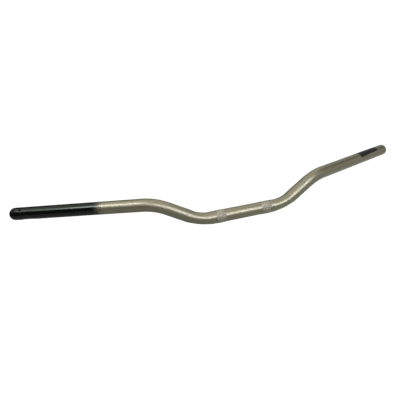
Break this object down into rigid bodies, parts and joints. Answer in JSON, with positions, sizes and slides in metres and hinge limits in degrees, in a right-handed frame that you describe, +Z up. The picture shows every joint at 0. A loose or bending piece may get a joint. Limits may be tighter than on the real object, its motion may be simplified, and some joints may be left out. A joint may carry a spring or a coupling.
{
  "type": "motorcycle handlebar",
  "caption": "Bare tubular motorcycle handlebar with a low rise, knurled clamp bands, a black throttle zone and a domed plug in its throttle end.",
  "frame": {"origin": "on the bar's axis, midway between the two knurled clamp bands", "axes": "+X to the rider's left, along the bar, +Y to the rear, towards the rider, +Z up, with the grips level"},
  "size_m": [0.7753, 0.1371, 0.062],
  "materials": {
    "bar_paint": "satin champagne grey metallic, gloss black over the throttle zone",
    "black_coat": "gloss black, over turned steel",
    "label_film": "satin black film"
  },
  "bodies": {
    "root": {"bar_tube": "bar_paint", "throttle_end_plug": "black_coat", "marking_label": "label_film"}
  },
  "joints": []
}
